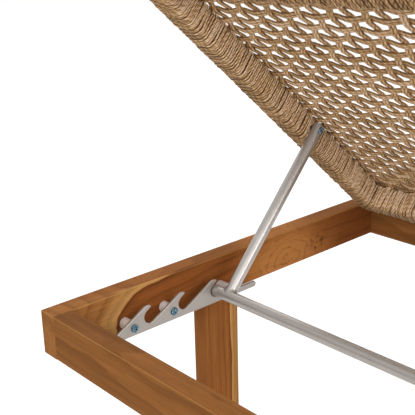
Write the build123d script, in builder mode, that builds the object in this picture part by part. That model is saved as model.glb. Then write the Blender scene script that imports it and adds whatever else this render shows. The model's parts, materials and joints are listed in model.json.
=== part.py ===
"""Sun lounger: teak frame, two cord-wrapped woven panels, ratchet-propped backrest.

X runs from the head (-X) to the foot (+X), Y across, Z up from the floor, all in millimetres.
The backrest stands at the angle it takes with the prop bar in the third notch.
"""
from math import asin, atan2, cos, degrees, hypot, pi, radians, sin, sqrt, tan
import os

from build123d import *

os.makedirs("parts", exist_ok=True)

# Teak frame
frame_length = 2000.0
frame_width = 700.0
rail_top = 330.0
rail_height = 73.0
rail_thick = 35.0
edge_round = 1.6
leg_width = 77.0
leg_inset = 309.5
rail_tenon_length = 22.0
rail_tenon_thick = 14.0
rail_tenon_height = 44.0
leg_tenon_width = 16.0
leg_tenon_thick = 12.0
leg_tenon_height = 39.0
leg_tenon_spread = 36.0
glide_height = 8.0
glide_inset = 5.0
glide_edge = 2.0
spigot_side = 8.0
spigot_height = 14.0
shank_sides = 8
hex_sides = 6
bore_overrun = 1.0
fit_gap = 0.1
joint_gap = 0.2

# Wrapped tube and woven panel
tube_width = 36.0
tube_height = 40.0
tube_wall = 2.0
cord_thick = 5.0
bar_round = 12.0
panel_gap = 2.5
net_thick = 7.0
net_drop = 2.0
net_strap = 27.0
back_cell_count = 9
seat_cell_count = 15
cells_across = 7

# Backrest and hinge
back_angle = 40.67
hinge_from_head = 701.3
back_reach = 732.0
back_tail = 25.0
seat_start = 738.0
seat_end_inset = 5.0
hinge_rail_inset = 4.0
hinge_plate_thick = 5.0
hinge_plate_height = 36.0
hinge_plate_reach = 72.0
hinge_stand = 1.5
hinge_flange_radius = 10.0
hinge_pin_radius = 4.0
hinge_bush_radius = 6.0
hinge_head_radius = 7.5
hinge_head_height = 5.0
hinge_key_radius = 3.2
hinge_key_depth = 3.0
hinge_insert_radius = 6.4
hinge_insert_depth = 14.0
plate_screw_radius = 3.0
plate_screw_head = 6.0
plate_screw_head_height = 3.5
plate_screw_length = 22.0
plate_screw_first = 49.0
plate_screw_step = 26.0
seat_bolt_radius = 3.0
seat_bolt_head = 6.0
seat_bolt_head_height = 4.0
seat_bolt_y = 200.0
seat_bolt_bite = 6.0
turn_gap = 0.3

# Prop
prop_radius = 10.0
prop_wall = 2.0
pivot_from_hinge = 275.9
arm_past_pivot = 9.0
arm_solid_end = 26.0
arm_flat = 8.0
arm_outer_flat = 8.5
pivot_washer_thick = 3.0
pivot_washer_radius = 7.0
pivot_screw_radius = 3.0
pivot_head_radius = 6.3
pivot_head_height = 3.6
pivot_insert_radius = 5.2
pivot_insert_depth = 14.0
bar_end_to_rail = 12.0
cap_thick = 2.0
cap_spigot = 9.0

# Ratchet plate, heights measured from its lower edge
plate_thick = 4.5
plate_stand = 23.5
plate_drop = 68.3
notch_first = 126.0
notch_pitch = 72.0
notch_count = 3
notch_height = 22.2
notch_gap = 2.3
notch_ahead = 0.6
notch_above = 1.6
hook_back_angle = 27.5
hook_under_angle = 32.4
hook_back_start = 12.1
hook_back_radius = 17.0
hook_tip_radius = 1.8
nose_x = 46.0
nose_round = 1.6
tail_end = 368.0
tail_height = 10.6
tail_round = 6.0
boss_x = 304.0
boss_height = 12.5
boss_radius = 8.5
ratchet_screws_at = ((94.0, 12.7), (176.0, 14.8), (boss_x, boss_height))
ratchet_screw_radius = 2.5
ratchet_head_radius = 7.0
ratchet_head_height = 3.8
ratchet_screw_bite = 22.0
spacer_radius = 9.7

# Derived positions
half_length = frame_length / 2
half_inside = frame_width / 2 - rail_thick
half_width = frame_width / 2
rail_low = rail_top - rail_height
rail_mid = rail_top - rail_height / 2
head_face = rail_thick - half_length
foot_face = half_length - rail_thick
bar_width = tube_width + 2 * cord_thick
bar_height = tube_height + 2 * cord_thick
panel_half = half_inside - panel_gap
bar_inner = panel_half - bar_width
bar_mid = panel_half - bar_width / 2
bar_flat = bar_height / 2 - bar_round
hinge_x = head_face + hinge_from_head
hinge_z = rail_top + bar_height / 2
seat_x0 = head_face + seat_start
seat_x1 = half_length - seat_end_inset
leg_mid_x = half_length - rail_thick - leg_inset
hinge_rail_x = seat_x0 + hinge_rail_inset + rail_thick / 2
seat_rail_x = (hinge_rail_x + foot_face) / 2
cross_rail_xs = (head_face - rail_thick / 2, hinge_rail_x, seat_rail_x, foot_face + rail_thick / 2)
seat_bolt_xs = (hinge_rail_x, foot_face + rail_thick / 2)
plate_z = rail_top - plate_drop
plate_outer_y = half_inside - plate_stand
plate_inner_y = plate_outer_y - plate_thick
notch_radius = prop_radius + notch_gap
notch_mid = notch_height + notch_above
bar_x = head_face + notch_first + (notch_count - 1) * notch_pitch
bar_z = plate_z + notch_height
tilt = radians(back_angle)
pivot_x = hinge_x - pivot_from_hinge * cos(tilt)
pivot_z = hinge_z + pivot_from_hinge * sin(tilt)
arm_run_x = pivot_x - bar_x
arm_run_z = pivot_z - bar_z
arm_length = hypot(arm_run_x, arm_run_z)
arm_dir = Vector(arm_run_x / arm_length, 0, arm_run_z / arm_length)
arm_y = bar_inner - pivot_washer_thick - arm_outer_flat
hinge_plate_y = panel_half + hinge_stand
hinge_head_y = hinge_plate_y + hinge_plate_thick + joint_gap

# Panel frames: local x toward the foot, local y across, local z out of the sitting side
seat_place = Plane(origin=(0, 0, hinge_z), x_dir=(1, 0, 0), z_dir=(0, 0, 1))
back_place = Plane(
    origin=(hinge_x, 0, hinge_z),
    x_dir=(cos(tilt), 0, -sin(tilt)),
    z_dir=(sin(tilt), 0, cos(tilt)),
)


def save(part, label):
    """Label one piece and write its file."""
    part.label = label
    export_step(part, "parts/" + label + ".step")


def rod_y(x, y0, y1, z, radius, mode=Mode.ADD):
    """A round rod along Y."""
    with Locations(Location((x, (y0 + y1) / 2, z), (90, 0, 0))):
        Cylinder(radius, abs(y1 - y0), mode=mode)


def block(x0, x1, y0, y1, z0, z1, mode=Mode.ADD):
    """A plain block between two corners."""
    with Locations(((x0 + x1) / 2, (y0 + y1) / 2, (z0 + z1) / 2)):
        Box(x1 - x0, y1 - y0, z1 - z0, mode=mode)


def shank_y(x, y0, y1, z, radius, mode=Mode.ADD, sides=shank_sides, x_dir=(1, 0, 0)):
    """A hidden shank or hexagon head along Y, or the bore for a shank, with a few flat sides."""
    way = 1 if y1 > y0 else -1
    with BuildSketch(Plane(origin=(x, y0, z), x_dir=x_dir, z_dir=(0, way, 0))) as section:
        RegularPolygon(radius, sides)
    extrude(section.sketch, amount=abs(y1 - y0), mode=mode)


def shank_z(x, y, z0, z1, radius, mode=Mode.ADD, sides=shank_sides):
    """A hidden shank or hexagon head up Z, or the bore for a shank, with a few flat sides."""
    with BuildSketch(Plane(origin=(x, y, z0))) as section:
        RegularPolygon(radius, sides)
    extrude(section.sketch, amount=z1 - z0, mode=mode)


def tenon_xs(leg_x):
    """Middles of the twin tenons on the leg at leg_x."""
    return (leg_x - leg_tenon_spread / 2, leg_x + leg_tenon_spread / 2)


def leg_tenon(x, y, slack, mode=Mode.ADD):
    """One of a leg's twin tenons, or its mortise where slack is not zero."""
    half_x = (leg_tenon_width + slack) / 2
    half_y = (leg_tenon_thick + slack) / 2
    block(x - half_x, x + half_x, y - half_y, y + half_y, rail_low, rail_low + leg_tenon_height + slack, mode)


def rail_tenon(x, y0, y1, slack, mode=Mode.ADD):
    """The tenon of a cross rail between y0 and y1, or its mortise where slack is not zero."""
    half_x = (rail_tenon_thick + slack) / 2
    half_z = (rail_tenon_height + slack) / 2
    block(x - half_x, x + half_x, y0, y1, rail_mid - half_z, rail_mid + half_z, mode)


# Side rails: mortises for the legs and cross rails, bores for the ratchet screws
with BuildPart() as side_rail_left:
    block(-half_length, half_length, half_inside, half_width, rail_low, rail_top)
    fillet(side_rail_left.edges().filter_by(Axis.X), radius=edge_round)
    for leg_x in (-leg_mid_x, leg_mid_x):
        for tenon_x in tenon_xs(leg_x):
            leg_tenon(tenon_x, half_width - rail_thick / 2, joint_gap, Mode.SUBTRACT)
    for rail_x in cross_rail_xs:
        rail_tenon(rail_x, half_inside, half_inside + rail_tenon_length + joint_gap, joint_gap, Mode.SUBTRACT)
    for screw_x, screw_h in ratchet_screws_at:
        shank_y(
            head_face + screw_x,
            half_inside,
            half_inside + ratchet_screw_bite + joint_gap,
            plate_z + screw_h,
            ratchet_screw_radius + fit_gap,
            Mode.SUBTRACT,
        )
save(side_rail_left.part, "side_rail_left")

with BuildPart() as side_rail_right:
    mirror(side_rail_left.part, about=Plane.XZ)
save(side_rail_right.part, "side_rail_right")


# Cross rails, tenoned into the side rails
def cross_rail(label, rail_x, bolted):
    """One rail across the frame with a tenon at each end and, where bolted, seat bolt holes."""
    with BuildPart() as rail:
        x0 = rail_x - rail_thick / 2
        block(x0, x0 + rail_thick, -half_inside, half_inside, rail_low, rail_top)
        fillet(rail.edges().filter_by(Axis.Y), radius=edge_round)
        rail_tenon(rail_x, -half_inside - rail_tenon_length, half_inside + rail_tenon_length, 0)
        if bolted:
            for side in (-1, 1):
                hole_y = side * seat_bolt_y
                shank_z(rail_x, hole_y, rail_low, rail_top, seat_bolt_radius + joint_gap, Mode.SUBTRACT)
    save(rail.part, label)


cross_rail("head_rail", cross_rail_xs[0], False)
cross_rail("hinge_cross_rail", cross_rail_xs[1], True)
cross_rail("seat_cross_rail", cross_rail_xs[2], False)
cross_rail("foot_rail", cross_rail_xs[3], True)


# Legs, tenoned up into the side rails, on glides
def spigot(x, y, slack, mode=Mode.ADD):
    """The square spigot of a glide, or its socket where slack is not zero."""
    half = (spigot_side + slack) / 2
    block(x - half, x + half, y - half, y + half, glide_height, glide_height + spigot_height + slack, mode)


def leg(label, leg_x, side):
    """One leg with its twin tenons and glide socket."""
    with BuildPart() as post:
        leg_y = side * (half_width - rail_thick / 2)
        x0 = leg_x - leg_width / 2
        y0 = leg_y - rail_thick / 2
        block(x0, x0 + leg_width, y0, y0 + rail_thick, glide_height, rail_low)
        fillet(post.edges().filter_by(Axis.Z), radius=edge_round)
        for tenon_x in tenon_xs(leg_x):
            leg_tenon(tenon_x, leg_y, 0)
        spigot(leg_x, leg_y, joint_gap, Mode.SUBTRACT)
    save(post.part, label)


leg("leg_head_left", -leg_mid_x, 1)
leg("leg_head_right", -leg_mid_x, -1)
leg("leg_foot_left", leg_mid_x, 1)
leg("leg_foot_right", leg_mid_x, -1)

glide_y = half_width - rail_thick / 2
with BuildPart() as leg_glides:
    with Locations((0, 0, glide_height / 2)):
        with GridLocations(2 * leg_mid_x, 2 * glide_y, 2, 2):
            Box(leg_width - 2 * glide_inset, rail_thick - 2 * glide_inset, glide_height)
    chamfer(leg_glides.edges().group_by(Axis.Z)[0], length=glide_edge)
    for leg_x in (-leg_mid_x, leg_mid_x):
        for side in (-1, 1):
            spigot(leg_x, side * glide_y, 0)
save(leg_glides.part, "leg_glides")


# Ratchet plates
def plate_outline():
    """Steps of the hooked edge, each (kind, points), with its tips, nose corners and dip."""
    s = radians(hook_back_angle)
    u = radians(hook_under_angle)
    r = notch_radius
    steps = []
    tips = []
    here = (nose_x, 0.0)
    for i in range(notch_count):
        cx = notch_first + notch_ahead + i * notch_pitch
        low_x = cx - notch_pitch + r * sin(s)
        low_h = notch_mid - r * cos(s)
        if i == 0:
            nose_top = (nose_x, low_h + (nose_x - low_x) * tan(s))
            nose = [here, nose_top]
            steps.append(("line", here, nose_top))
            here = nose_top
        back = (cx - hook_back_start, low_h + (cx - hook_back_start - low_x) * tan(s))
        steps.append(("line", here, back))
        mid_x = back[0] + hook_back_radius * sin(s)
        mid_h = back[1] - hook_back_radius * cos(s)
        inner = (cx - r * sin(u), notch_mid + r * cos(u))
        dx = inner[0] - mid_x
        dh = inner[1] - mid_h
        b = cos(u) * dx + sin(u) * dh
        c = dx * dx + dh * dh - hook_back_radius * hook_back_radius
        t = sqrt(b * b - c) - b
        tip = (inner[0] + t * cos(u), inner[1] + t * sin(u))
        a0 = atan2(back[1] - mid_h, back[0] - mid_x)
        a1 = atan2(tip[1] - mid_h, tip[0] - mid_x)
        am = (a0 + a1) / 2
        crest = (mid_x + hook_back_radius * cos(am), mid_h + hook_back_radius * sin(am))
        steps.append(("arc", back, crest, tip))
        tips.append(tip)
        steps.append(("line", tip, inner))
        out = s
        if i == notch_count - 1:
            reach = hypot(boss_x - cx, boss_height - notch_mid)
            out = atan2(boss_height - notch_mid, boss_x - cx) + asin((r + boss_radius) / reach)
        start = pi / 2 + u
        stop = 1.5 * pi + out
        half = (start + stop) / 2
        floor = (cx + r * cos(half), notch_mid + r * sin(half))
        leave = (cx + r * sin(out), notch_mid - r * cos(out))
        steps.append(("arc", inner, floor, leave))
        here = leave
    rise = (boss_x - boss_radius * sin(out), boss_height + boss_radius * cos(out))
    fall_angle = asin((tail_height - boss_height) / boss_radius)
    fall = (boss_x + boss_radius * cos(fall_angle), tail_height)
    top_angle = (pi / 2 + out + fall_angle) / 2
    top = (boss_x + boss_radius * cos(top_angle), boss_height + boss_radius * sin(top_angle))
    steps.append(("line", here, rise))
    steps.append(("arc", rise, top, fall))
    tail_x = tail_end - tail_height / 2
    steps.append(("line", fall, (tail_x, tail_height)))
    steps.append(("arc", (tail_x, tail_height), (tail_end, tail_height / 2), (tail_x, 0.0)))
    steps.append(("line", (tail_x, 0.0), (nose_x, 0.0)))
    return steps, tips, nose, fall


plate_steps, plate_tips, plate_nose, plate_dip = plate_outline()
plate_plane = Plane(origin=(head_face, plate_outer_y, plate_z), x_dir=(1, 0, 0), z_dir=(0, -1, 0))


def near(vertex, spots):
    """True where a plate vertex stands on one of the listed (x, height) spots."""
    local = plate_plane.to_local_coords(Vector(*vertex))
    return any(hypot(local.X - x, local.Y - h) < 0.05 for x, h in spots)


with BuildPart() as ratchet_plate_left:
    with BuildSketch(plate_plane):
        with BuildLine():
            for step in plate_steps:
                if step[0] == "line":
                    Line(step[1], step[2])
                else:
                    ThreePointArc(step[1], step[2], step[3])
        make_face()
        with Locations(*ratchet_screws_at):
            RegularPolygon(ratchet_screw_radius + joint_gap, shank_sides, mode=Mode.SUBTRACT)
    extrude(amount=plate_thick)
    upright = ratchet_plate_left.edges().filter_by(Axis.Y)
    fillet([e for e in upright if near(e.center(), plate_tips)], radius=hook_tip_radius)
    upright = ratchet_plate_left.edges().filter_by(Axis.Y)
    fillet([e for e in upright if near(e.center(), plate_nose)], radius=nose_round)
    upright = ratchet_plate_left.edges().filter_by(Axis.Y)
    fillet([e for e in upright if near(e.center(), [plate_dip])], radius=tail_round)
save(ratchet_plate_left.part, "ratchet_plate_left")

with BuildPart() as ratchet_plate_right:
    mirror(ratchet_plate_left.part, about=Plane.XZ)
save(ratchet_plate_right.part, "ratchet_plate_right")


def ratchet_spacers(label, side):
    """Three round spacers that stand one ratchet plate off its rail."""
    with BuildPart() as spacers:
        for screw_x, screw_h in ratchet_screws_at:
            x = head_face + screw_x
            z = plate_z + screw_h
            face = side * plate_outer_y
            rod_y(x, face, side * half_inside, z, spacer_radius)
            shank_y(x, face, side * half_inside, z, ratchet_screw_radius + joint_gap, Mode.SUBTRACT)
    save(spacers.part, label)


def ratchet_screws(label, side):
    """Three screws through plate and spacer into the rail."""
    with BuildPart() as screws:
        for screw_x, screw_h in ratchet_screws_at:
            x = head_face + screw_x
            z = plate_z + screw_h
            face = side * plate_inner_y
            rod_y(x, face, face - side * ratchet_head_height, z, ratchet_head_radius)
            shank_y(x, face, side * (half_inside + ratchet_screw_bite), z, ratchet_screw_radius)
    save(screws.part, label)


ratchet_spacers("ratchet_spacers_left", 1)
ratchet_spacers("ratchet_spacers_right", -1)
ratchet_screws("ratchet_screws_left", 1)
ratchet_screws("ratchet_screws_right", -1)


# Panels: mitred tubes, cord wraps and nets
def side_plane(place, x, y):
    """Section plane of a side tube, looking toward the foot."""
    return Plane(origin=place.from_local_coords(Vector(x, y, 0)), x_dir=place.y_dir, z_dir=place.x_dir)


def end_plane(place, x, y):
    """Section plane of an end tube, looking toward +Y."""
    return Plane(origin=place.from_local_coords(Vector(x, y, 0)), x_dir=place.x_dir, z_dir=place.y_dir)


def floor_plane(place, height):
    """Plane over the panel at a local height."""
    origin = place.from_local_coords(Vector(0, 0, height))
    return Plane(origin=origin, x_dir=place.x_dir, z_dir=place.z_dir)


def side_mitre(x0, x1, side):
    """Corner points of a side bar seen from above, mitred at both ends."""
    w = bar_width
    return (
        (x0, side * panel_half),
        (x1, side * panel_half),
        (x1 - w, side * bar_inner),
        (x0 + w, side * bar_inner),
    )


def end_mitre(x, inward):
    """Corner points of an end bar seen from above, mitred at both ends."""
    w = bar_width * inward
    return ((x, -panel_half), (x, panel_half), (x + w, bar_inner), (x + w, -bar_inner))


def panel_bar(label, place, plane, length, mitre, wrap, bores):
    """One mitred tube, or the wrap over it; bores are (plane, radius, sides, depth) cuts."""
    with BuildPart() as bar:
        with BuildSketch(plane):
            if wrap:
                RectangleRounded(bar_width, bar_height, bar_round)
                Rectangle(tube_width + 2 * fit_gap, tube_height + 2 * fit_gap, mode=Mode.SUBTRACT)
            else:
                Rectangle(tube_width, tube_height)
                Rectangle(tube_width - 2 * tube_wall, tube_height - 2 * tube_wall, mode=Mode.SUBTRACT)
        extrude(amount=length)
        with BuildSketch(floor_plane(place, -bar_height)):
            Polygon(*mitre, align=None)
        extrude(amount=2 * bar_height, mode=Mode.INTERSECT)
        for bore_plane, radius, sides, depth in bores:
            with BuildSketch(bore_plane):
                RegularPolygon(radius, sides)
            extrude(amount=depth, mode=Mode.SUBTRACT)
    save(bar.part, label)


def across_bore(place, x, y, side):
    """Plane for a bore that enters a side bar along Y; side is the way it goes in."""
    origin = place.from_local_coords(Vector(x, y, 0))
    return Plane(origin=origin, x_dir=place.x_dir, z_dir=place.y_dir * side)


def upright_bore(place, x, y):
    """Plane for a bore that enters an end bar from below."""
    origin = place.from_local_coords(Vector(x, y, -bar_height / 2 - bore_overrun))
    return Plane(origin=origin, x_dir=place.x_dir, z_dir=place.z_dir)


def panel(name, place, x0, x1, far_end, near_end, side_holes, end_holes):
    """Tubes and wraps of one panel; side holes are (x, outer face, radius, sides)."""
    wrap_depth = cord_thick + 2 * bore_overrun
    tube_depth = wrap_depth + tube_wall
    for side, word in ((1, "left"), (-1, "right")):
        wrap_bores = []
        tube_bores = []
        for x, outer, radius, sides in side_holes:
            y = side * (panel_half + bore_overrun) if outer else side * (bar_inner - bore_overrun)
            way = -side if outer else side
            bore_plane = across_bore(place, x, y, way)
            wrap_bores.append((bore_plane, radius + joint_gap, sides, wrap_depth))
            tube_bores.append((bore_plane, radius + fit_gap, sides, tube_depth))
        plane = side_plane(place, x0, side * bar_mid)
        mitre = side_mitre(x0, x1, side)
        panel_bar(name + "_tube_" + word, place, plane, x1 - x0, mitre, False, tube_bores)
        panel_bar(name + "_wrap_" + word, place, plane, x1 - x0, mitre, True, wrap_bores)
    for word, x, inward in ((far_end, x0, 1), (near_end, x1, -1)):
        wrap_bores = []
        tube_bores = []
        for bore_x, end_word in end_holes:
            if end_word == word:
                for side in (-1, 1):
                    bore_plane = upright_bore(place, bore_x, side * seat_bolt_y)
                    wrap_bores.append((bore_plane, seat_bolt_radius + joint_gap, shank_sides, wrap_depth))
                    tube_bores.append((bore_plane, seat_bolt_radius + fit_gap, shank_sides, tube_depth))
        plane = end_plane(place, x + inward * bar_width / 2, -panel_half)
        mitre = end_mitre(x, inward)
        panel_bar(name + "_tube_" + word, place, plane, 2 * panel_half, mitre, False, tube_bores)
        panel_bar(name + "_wrap_" + word, place, plane, 2 * panel_half, mitre, True, wrap_bores)


def net(label, place, x0, x1, cell_count):
    """Open net of one panel, trimmed to the rounded inner sides of its four bars."""
    inside_x0 = x0 + bar_width
    inside_x1 = x1 - bar_width
    long_pitch = (inside_x1 - inside_x0) / cell_count
    cross_pitch = 2 * bar_inner / cells_across
    low = bar_height / 2 - net_drop - net_thick
    middle = (x0 + x1) / 2
    with BuildPart() as mesh:
        with BuildSketch(floor_plane(place, low)):
            with Locations((middle, 0)):
                Rectangle(inside_x1 - inside_x0 + bar_round, 2 * bar_inner + bar_round)
                with GridLocations(long_pitch, cross_pitch, cell_count, cells_across):
                    Rectangle(long_pitch - net_strap, cross_pitch - net_strap, mode=Mode.SUBTRACT)
        extrude(amount=net_thick)
        for side in (-1, 1):
            with BuildSketch(side_plane(place, x0, side * bar_mid)):
                RectangleRounded(bar_width + 2 * fit_gap, bar_height + 2 * fit_gap, bar_round + fit_gap)
            extrude(amount=x1 - x0, mode=Mode.SUBTRACT)
        for x in (x0 + bar_width / 2, x1 - bar_width / 2):
            with BuildSketch(end_plane(place, x, -panel_half)):
                RectangleRounded(bar_width + 2 * fit_gap, bar_height + 2 * fit_gap, bar_round + fit_gap)
            extrude(amount=2 * panel_half, mode=Mode.SUBTRACT)
    save(mesh.part, label)


plate_screw_xs = (hinge_x + plate_screw_first, hinge_x + plate_screw_first + plate_screw_step)
seat_side_holes = [(x, True, plate_screw_radius, shank_sides) for x in plate_screw_xs]
seat_end_holes = ((seat_bolt_xs[0], "head"), (seat_bolt_xs[1], "foot"))
panel("seat", seat_place, seat_x0, seat_x1, "head", "foot", seat_side_holes, seat_end_holes)
net("seat_net", seat_place, seat_x0, seat_x1, seat_cell_count)

back_side_holes = (
    (0.0, True, hinge_insert_radius, hex_sides),
    (-pivot_from_hinge, False, pivot_insert_radius, hex_sides),
)
panel("backrest", back_place, -back_reach, back_tail, "top", "low", back_side_holes, ())
net("backrest_net", back_place, -back_reach, back_tail, back_cell_count)

# Bolts that hold the seat panel down on its rails
with BuildPart() as seat_bolts:
    for bolt_x in seat_bolt_xs:
        for side in (-1, 1):
            bolt_y = side * seat_bolt_y
            bolt_end = rail_top + cord_thick + tube_wall + seat_bolt_bite
            head_low = rail_low - seat_bolt_head_height
            shank_z(bolt_x, bolt_y, head_low, rail_low, seat_bolt_head, Mode.ADD, hex_sides)
            shank_z(bolt_x, bolt_y, rail_low, bolt_end, seat_bolt_radius)
save(seat_bolts.part, "seat_bolts")


# Hinge between the seat and the backrest
def hinge_plate(label, side):
    """Flat link with a pad that is screwed to the seat tube and the backrest pivot at its free end."""
    with BuildPart() as link:
        reach = hinge_plate_reach + plate_screw_step
        y = side * hinge_plate_y
        turn = Plane(origin=(hinge_x + reach / 2, y, hinge_z), x_dir=(1, 0, 0), z_dir=(0, side, 0))
        with BuildSketch(turn):
            SlotCenterToCenter(reach, hinge_plate_height)
            with Locations((-reach / 2, 0)):
                RegularPolygon(hinge_bush_radius + fit_gap, shank_sides, mode=Mode.SUBTRACT)
        extrude(amount=hinge_plate_thick)
        pad_y0, pad_y1 = sorted((side * panel_half, y))
        block(seat_x0, hinge_x + reach, pad_y0, pad_y1, hinge_z - bar_flat, hinge_z + bar_flat)
        for screw_x in plate_screw_xs:
            shank_y(
                screw_x,
                side * panel_half,
                y + side * hinge_plate_thick,
                hinge_z,
                plate_screw_radius + joint_gap,
                Mode.SUBTRACT,
            )
    save(link.part, label)


hinge_plate("hinge_plate_left", 1)
hinge_plate("hinge_plate_right", -1)

# Flanged bushes that carry the hinge bolts in the plates
with BuildPart() as hinge_bushes:
    for side in (-1, 1):
        flange_y = side * (panel_half + turn_gap)
        plate_y = side * hinge_plate_y
        outer_y = side * (hinge_plate_y + hinge_plate_thick)
        rod_y(hinge_x, flange_y, plate_y, hinge_z, hinge_flange_radius)
        shank_y(hinge_x, plate_y, outer_y, hinge_z, hinge_bush_radius)
        rod_y(hinge_x, flange_y, outer_y, hinge_z, hinge_pin_radius + turn_gap, Mode.SUBTRACT)
save(hinge_bushes.part, "hinge_bushes")

with BuildPart() as hinge_screws:
    for side in (-1, 1):
        for screw_x in plate_screw_xs:
            face = side * (hinge_plate_y + hinge_plate_thick)
            top = face + side * plate_screw_head_height
            shank_y(screw_x, face, top, hinge_z, plate_screw_head, Mode.ADD, hex_sides)
            shank_y(screw_x, face, face - side * plate_screw_length, hinge_z, plate_screw_radius)
save(hinge_screws.part, "hinge_screws")

with BuildPart() as hinge_bolts:
    for side in (-1, 1):
        face = side * hinge_head_y
        top = face + side * hinge_head_height
        bolt_end = side * (panel_half - cord_thick - hinge_insert_depth)
        rod_y(hinge_x, face, top, hinge_z, hinge_head_radius)
        rod_y(hinge_x, face, side * panel_half, hinge_z, hinge_pin_radius)
        shank_y(hinge_x, side * panel_half, bolt_end, hinge_z, hinge_pin_radius)
        key_end = top - side * hinge_key_depth
        shank_y(hinge_x, top, key_end, hinge_z, hinge_key_radius, Mode.SUBTRACT, hex_sides)
save(hinge_bolts.part, "hinge_bolts")


def inserts(label, x, z, outer, inner, radius, bore):
    """Six-sided threaded inserts, one in each backrest side tube, turned with the backrest."""
    with BuildPart() as sleeves:
        for side in (-1, 1):
            y0 = side * outer
            y1 = side * inner
            shank_y(x, y0, y1, z, radius, Mode.ADD, hex_sides, back_place.x_dir)
            shank_y(x, y0, y1, z, bore, Mode.SUBTRACT)
    save(sleeves.part, label)


hinge_insert_end = panel_half - cord_thick - hinge_insert_depth
hinge_bore = hinge_pin_radius + fit_gap
inserts("hinge_inserts", hinge_x, hinge_z, panel_half, hinge_insert_end, hinge_insert_radius, hinge_bore)

# Prop: two arms welded to a bar that drops into the ratchet notches
arm_top = arm_length + arm_past_pivot
pivot_face_y = arm_y - arm_flat


def prop_arm(label, side):
    """One arm, coped over the bar at its foot and milled flat round the pivot at its head."""
    foot = Plane(origin=(bar_x, side * arm_y, bar_z), x_dir=(0, 1, 0), z_dir=arm_dir)
    with BuildPart() as arm:
        with BuildSketch(foot):
            Circle(prop_radius)
        extrude(amount=arm_top)
        with BuildSketch(foot):
            Circle(prop_radius - prop_wall)
        extrude(amount=arm_top - arm_solid_end, mode=Mode.SUBTRACT)
        rod_y(
            bar_x,
            side * arm_y - 3 * prop_radius,
            side * arm_y + 3 * prop_radius,
            bar_z,
            prop_radius + fit_gap / 2,
            Mode.SUBTRACT,
        )
        with BuildSketch(foot.offset(arm_top - 2 * arm_past_pivot)):
            with Locations((-side * (arm_flat + prop_radius), 0)):
                Rectangle(2 * prop_radius, 3 * prop_radius)
            with Locations((side * (arm_outer_flat + prop_radius), 0)):
                Rectangle(2 * prop_radius, 3 * prop_radius)
        extrude(amount=3 * arm_past_pivot, mode=Mode.SUBTRACT)
        rod_y(
            pivot_x,
            side * arm_y - 2 * prop_radius,
            side * arm_y + 2 * prop_radius,
            pivot_z,
            pivot_screw_radius + turn_gap,
            Mode.SUBTRACT,
        )
    save(arm.part, label)


prop_arm("prop_arm_left", 1)
prop_arm("prop_arm_right", -1)

half_bar = half_inside - bar_end_to_rail - cap_thick
with BuildPart() as prop_bar:
    rod_y(bar_x, -half_bar, half_bar, bar_z, prop_radius)
    rod_y(bar_x, -half_bar, half_bar, bar_z, prop_radius - prop_wall, Mode.SUBTRACT)
save(prop_bar.part, "prop_bar")

with BuildPart() as prop_caps:
    for side in (-1, 1):
        rim = side * half_bar
        rod_y(bar_x, rim, rim + side * cap_thick, bar_z, prop_radius)
        shank_y(bar_x, rim, rim - side * cap_spigot, bar_z, prop_radius - prop_wall - fit_gap)
save(prop_caps.part, "prop_caps")

# Pivots of the prop arms on the backrest side tubes
pivot_insert_end = bar_inner + cord_thick + pivot_insert_depth
with BuildPart() as pivot_screws:
    for side in (-1, 1):
        face = side * (pivot_face_y - joint_gap)
        rod_y(pivot_x, face, face - side * pivot_head_height, pivot_z, pivot_head_radius)
        rod_y(pivot_x, face, side * bar_inner, pivot_z, pivot_screw_radius)
        shank_y(pivot_x, side * bar_inner, side * pivot_insert_end, pivot_z, pivot_screw_radius)
save(pivot_screws.part, "pivot_screws")

pivot_bore = pivot_screw_radius + fit_gap
with BuildPart() as pivot_washers:
    for side in (-1, 1):
        y0 = side * (bar_inner - pivot_washer_thick)
        y1 = side * bar_inner
        rod_y(pivot_x, y0, y1, pivot_z, pivot_washer_radius)
        rod_y(pivot_x, y0, y1, pivot_z, pivot_bore, Mode.SUBTRACT)
save(pivot_washers.part, "pivot_washers")

inserts("pivot_inserts", pivot_x, pivot_z, bar_inner, pivot_insert_end, pivot_insert_radius, pivot_bore)
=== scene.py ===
"""Sun lounger: wound borders, woven panels, welds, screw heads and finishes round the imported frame.

Lengths are metres. X runs from the head to the foot, Y across, Z up from the floor.
"""
import json
from math import cos, pi, radians, sin

import bpy
import numpy as np
from bpy.props import FloatProperty, FloatVectorProperty, PointerProperty
from mathutils import Euler, Matrix, Vector


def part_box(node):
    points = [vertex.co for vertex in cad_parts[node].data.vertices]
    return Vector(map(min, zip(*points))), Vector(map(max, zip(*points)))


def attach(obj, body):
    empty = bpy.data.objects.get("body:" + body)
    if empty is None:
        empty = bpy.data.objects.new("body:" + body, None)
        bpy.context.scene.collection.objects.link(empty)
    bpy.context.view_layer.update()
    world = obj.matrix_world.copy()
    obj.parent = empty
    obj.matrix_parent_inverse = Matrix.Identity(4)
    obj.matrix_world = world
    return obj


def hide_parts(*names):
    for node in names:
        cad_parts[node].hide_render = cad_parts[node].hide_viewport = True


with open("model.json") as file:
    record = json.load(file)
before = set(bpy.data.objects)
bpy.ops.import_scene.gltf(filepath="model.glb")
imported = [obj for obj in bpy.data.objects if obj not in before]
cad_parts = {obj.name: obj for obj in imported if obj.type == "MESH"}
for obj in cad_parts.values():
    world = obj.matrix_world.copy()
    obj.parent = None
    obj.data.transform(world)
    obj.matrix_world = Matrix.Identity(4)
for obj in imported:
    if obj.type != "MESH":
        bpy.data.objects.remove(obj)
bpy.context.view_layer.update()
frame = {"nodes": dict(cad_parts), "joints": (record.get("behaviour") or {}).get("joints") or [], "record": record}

bl_info = {
    "name": "Sun lounger",
    "version": (1, 0, 0),
    "blender": (4, 5, 0),
    "location": "3D View > Sidebar > Lounger",
    "description": "Cord, steel and teak of a sun lounger with a propped backrest",
    "category": "Object",
}

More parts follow.
